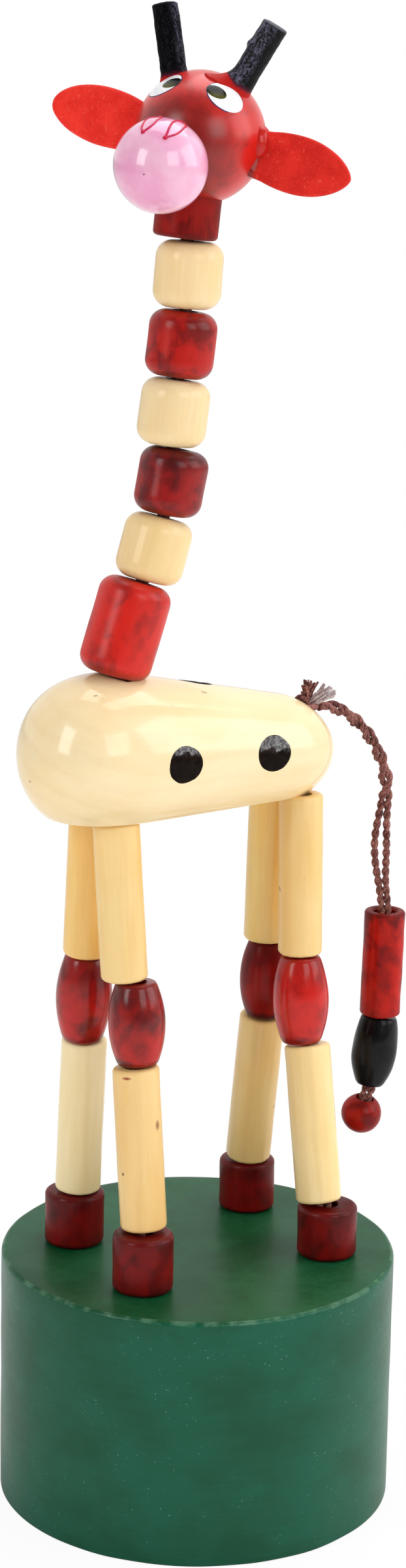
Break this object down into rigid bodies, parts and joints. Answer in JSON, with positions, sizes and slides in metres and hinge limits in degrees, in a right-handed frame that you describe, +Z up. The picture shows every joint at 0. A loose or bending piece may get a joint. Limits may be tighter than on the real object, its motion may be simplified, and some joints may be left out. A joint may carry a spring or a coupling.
{
  "type": "push puppet",
  "caption": "Push puppet of a standing giraffe: turned wooden beads strung on cords over a drum with a sprung push plate underneath.",
  "frame": {"origin": "centre of the ring that the drum stands on", "axes": "+Z up, the animal faces -X and its left side is at -Y"},
  "size_m": [0.0598, 0.055, 0.2062],
  "materials": {
    "green_paint": "satin green paint on turned wood",
    "natural_wood": "clear gloss varnish",
    "red_stain": "red stain under gloss varnish",
    "pink_paint": "gloss pink paint",
    "black_stain": "black stain, half gloss",
    "brown_cord": "twisted cord",
    "spring_steel": "bright wire",
    "red_leather": "rough dyed leather"
  },
  "bodies": {
    "base": {"base_drum": "green_paint", "front_left_hoof": "red_stain", "front_right_hoof": "red_stain", "rear_left_hoof": "red_stain", "rear_right_hoof": "red_stain", "return_spring": "spring_steel", "front_left_cord": "brown_cord", "front_right_cord": "brown_cord", "rear_left_cord": "brown_cord", "rear_right_cord": "brown_cord"},
    "plate": {"push_plate": "natural_wood", "cord_knots": "brown_cord"},
    "front_left_shin": {"front_left_lower_leg": "natural_wood"},
    "front_left_knee_bead": {"front_left_knee": "red_stain"},
    "front_left_thigh": {"front_left_upper_leg": "natural_wood"},
    "front_right_shin": {"front_right_lower_leg": "natural_wood"},
    "front_right_knee_bead": {"front_right_knee": "red_stain"},
    "front_right_thigh": {"front_right_upper_leg": "natural_wood"},
    "rear_left_shin": {"rear_left_lower_leg": "natural_wood"},
    "rear_left_knee_bead": {"rear_left_knee": "red_stain"},
    "rear_left_thigh": {"rear_left_upper_leg": "natural_wood"},
    "rear_right_shin": {"rear_right_lower_leg": "natural_wood"},
    "rear_right_knee_bead": {"rear_right_knee": "red_stain"},
    "rear_right_thigh": {"rear_right_upper_leg": "natural_wood"},
    "body": {"torso": "natural_wood", "tail_tuft": "brown_cord"},
    "neck_1": {"neck_bead_1": "red_stain"},
    "neck_2": {"neck_bead_2": "natural_wood"},
    "neck_3": {"neck_bead_3": "red_stain"},
    "neck_4": {"neck_bead_4": "natural_wood"},
    "neck_5": {"neck_bead_5": "red_stain"},
    "neck_6": {"neck_bead_6": "natural_wood"},
    "head": {"neck_collar": "red_stain", "head_ball": "red_stain", "muzzle": "pink_paint", "left_horn": "black_stain", "right_horn": "black_stain", "left_ear": "red_leather", "right_ear": "red_leather"},
    "tail": {"tail_cord": "brown_cord", "tail_tube_bead": "red_stain", "tail_barrel_bead": "black_stain", "tail_ball_bead": "red_stain"}
  },
  "joints": [
    {"name": "front_left_ankle", "type": "hinge", "parent": "base", "child": "front_left_shin", "pos_m": [-0.0171, -0.00917, 0.04336], "axis": [0, -1, 0], "range_deg": [0, 30], "stiffness_Nm_per_rad": 0.06},
    {"name": "front_left_knee_low", "type": "hinge", "parent": "front_left_shin", "child": "front_left_knee_bead", "pos_m": [-0.0119, -0.00742, 0.06572], "axis": [0, -1, 0], "range_deg": [-30, 0], "stiffness_Nm_per_rad": 0.06},
    {"name": "front_left_knee_high", "type": "hinge", "parent": "front_left_knee_bead", "child": "front_left_thigh", "pos_m": [-0.013, -0.00588, 0.07783], "axis": [0, -1, 0], "range_deg": [-30, 0], "stiffness_Nm_per_rad": 0.06},
    {"name": "front_left_hip", "type": "hinge", "parent": "front_left_thigh", "child": "body", "pos_m": [-0.0182, -0.00383, 0.10019], "axis": [0, -1, 0], "range_deg": [0, 30], "stiffness_Nm_per_rad": 0.06},
    {"name": "front_right_hip", "type": "hinge", "parent": "body", "child": "front_right_thigh", "pos_m": [-0.018, 0.00383, 0.10019], "axis": [0, -1, 0], "range_deg": [-30, 0], "stiffness_Nm_per_rad": 0.015},
    {"name": "front_right_knee_high", "type": "hinge", "parent": "front_right_thigh", "child": "front_right_knee_bead", "pos_m": [-0.0128, 0.00588, 0.07783], "axis": [0, -1, 0], "range_deg": [0, 30], "stiffness_Nm_per_rad": 0.015},
    {"name": "front_right_knee_low", "type": "hinge", "parent": "front_right_knee_bead", "child": "front_right_shin", "pos_m": [-0.0117, 0.00742, 0.06572], "axis": [0, -1, 0], "range_deg": [0, 30], "stiffness_Nm_per_rad": 0.015},
    {"name": "rear_left_hip", "type": "hinge", "parent": "body", "child": "rear_left_thigh", "pos_m": [0.0103, -0.00362, 0.10028], "axis": [0, -1, 0], "range_deg": [-30, 0], "stiffness_Nm_per_rad": 0.015},
    {"name": "rear_left_knee_high", "type": "hinge", "parent": "rear_left_thigh", "child": "rear_left_knee_bead", "pos_m": [0.0155, -0.00459, 0.07795], "axis": [0, -1, 0], "range_deg": [0, 30], "stiffness_Nm_per_rad": 0.015},
    {"name": "rear_left_knee_low", "type": "hinge", "parent": "rear_left_knee_bead", "child": "rear_left_shin", "pos_m": [0.0161, -0.00576, 0.06573], "axis": [0, -1, 0], "range_deg": [0, 30], "stiffness_Nm_per_rad": 0.015},
    {"name": "rear_right_hip", "type": "hinge", "parent": "body", "child": "rear_right_thigh", "pos_m": [0.0101, 0.00362, 0.10027], "axis": [0, -1, 0], "range_deg": [-30, 0], "stiffness_Nm_per_rad": 0.015},
    {"name": "rear_right_knee_high", "type": "hinge", "parent": "rear_right_thigh", "child": "rear_right_knee_bead", "pos_m": [0.0153, 0.00459, 0.07792], "axis": [0, -1, 0], "range_deg": [0, 30], "stiffness_Nm_per_rad": 0.015},
    {"name": "rear_right_knee_low", "type": "hinge", "parent": "rear_right_knee_bead", "child": "rear_right_shin", "pos_m": [0.0162, 0.00604, 0.06574], "axis": [0, -1, 0], "range_deg": [0, 30], "stiffness_Nm_per_rad": 0.015},
    {"name": "neck_bend_1", "type": "hinge", "parent": "body", "child": "neck_1", "pos_m": [-0.01721, 0, 0.12036], "axis": [0, -1, 0], "range_deg": [0, 9], "stiffness_Nm_per_rad": 0.015},
    {"name": "neck_bend_2", "type": "hinge", "parent": "neck_1", "child": "neck_2", "pos_m": [-0.01267, 0, 0.13209], "axis": [0, -1, 0], "range_deg": [0, 9], "stiffness_Nm_per_rad": 0.015},
    {"name": "neck_bend_3", "type": "hinge", "parent": "neck_2", "child": "neck_3", "pos_m": [-0.00963, 0, 0.14053], "axis": [0, -1, 0], "range_deg": [0, 9], "stiffness_Nm_per_rad": 0.015},
    {"name": "neck_bend_4", "type": "hinge", "parent": "neck_3", "child": "neck_4", "pos_m": [-0.00841, 0, 0.14939], "axis": [0, -1, 0], "range_deg": [0, 9], "stiffness_Nm_per_rad": 0.015},
    {"name": "neck_bend_5", "type": "hinge", "parent": "neck_4", "child": "neck_5", "pos_m": [-0.00791, 0, 0.15837], "axis": [0, -1, 0], "range_deg": [0, 9], "stiffness_Nm_per_rad": 0.015},
    {"name": "neck_bend_6", "type": "hinge", "parent": "neck_5", "child": "neck_6", "pos_m": [-0.00692, 0, 0.16726], "axis": [0, -1, 0], "range_deg": [0, 9], "stiffness_Nm_per_rad": 0.015},
    {"name": "neck_bend_7", "type": "hinge", "parent": "neck_6", "child": "head", "pos_m": [-0.0067, 0, 0.17632], "axis": [0, -1, 0], "range_deg": [0, 9], "stiffness_Nm_per_rad": 0.015},
    {"name": "plate_push", "type": "slide", "parent": "base", "child": "plate", "axis": [0, 0, 1], "range_m": [0, 0.008], "stiffness_N_per_m": 800, "springref_m": -0.008, "deforming": ["return_spring", "front_left_cord", "front_right_cord", "rear_left_cord", "rear_right_cord"]},
    {"name": "tail_swing", "type": "hinge", "parent": "body", "child": "tail", "pos_m": [0.0176, 0, 0.1115], "axis": [1, 0, 0], "range_deg": [-20, 20]}
  ],
  "couplings": [
    {"joint": "front_left_ankle", "follows": "plate_push", "rad_per_m": 65.45},
    {"joint": "front_left_knee_low", "follows": "plate_push", "rad_per_m": -65.45},
    {"joint": "front_left_knee_high", "follows": "plate_push", "rad_per_m": -65.45},
    {"joint": "front_left_hip", "follows": "plate_push", "rad_per_m": 65.45},
    {"joint": "front_right_hip", "follows": "plate_push", "rad_per_m": -65.45},
    {"joint": "front_right_knee_high", "follows": "plate_push", "rad_per_m": 65.45},
    {"joint": "front_right_knee_low", "follows": "plate_push", "rad_per_m": 65.45},
    {"joint": "rear_left_hip", "follows": "plate_push", "rad_per_m": -65.45},
    {"joint": "rear_left_knee_high", "follows": "plate_push", "rad_per_m": 65.45},
    {"joint": "rear_left_knee_low", "follows": "plate_push", "rad_per_m": 65.45},
    {"joint": "rear_right_hip", "follows": "plate_push", "rad_per_m": -65.45},
    {"joint": "rear_right_knee_high", "follows": "plate_push", "rad_per_m": 65.45},
    {"joint": "rear_right_knee_low", "follows": "plate_push", "rad_per_m": 65.45},
    {"joint": "neck_bend_1", "follows": "plate_push", "rad_per_m": 19.635},
    {"joint": "neck_bend_2", "follows": "plate_push", "rad_per_m": 19.635},
    {"joint": "neck_bend_3", "follows": "plate_push", "rad_per_m": 19.635},
    {"joint": "neck_bend_4", "follows": "plate_push", "rad_per_m": 19.635},
    {"joint": "neck_bend_5", "follows": "plate_push", "rad_per_m": 19.635},
    {"joint": "neck_bend_6", "follows": "plate_push", "rad_per_m": 19.635},
    {"joint": "neck_bend_7", "follows": "plate_push", "rad_per_m": 19.635}
  ]
}
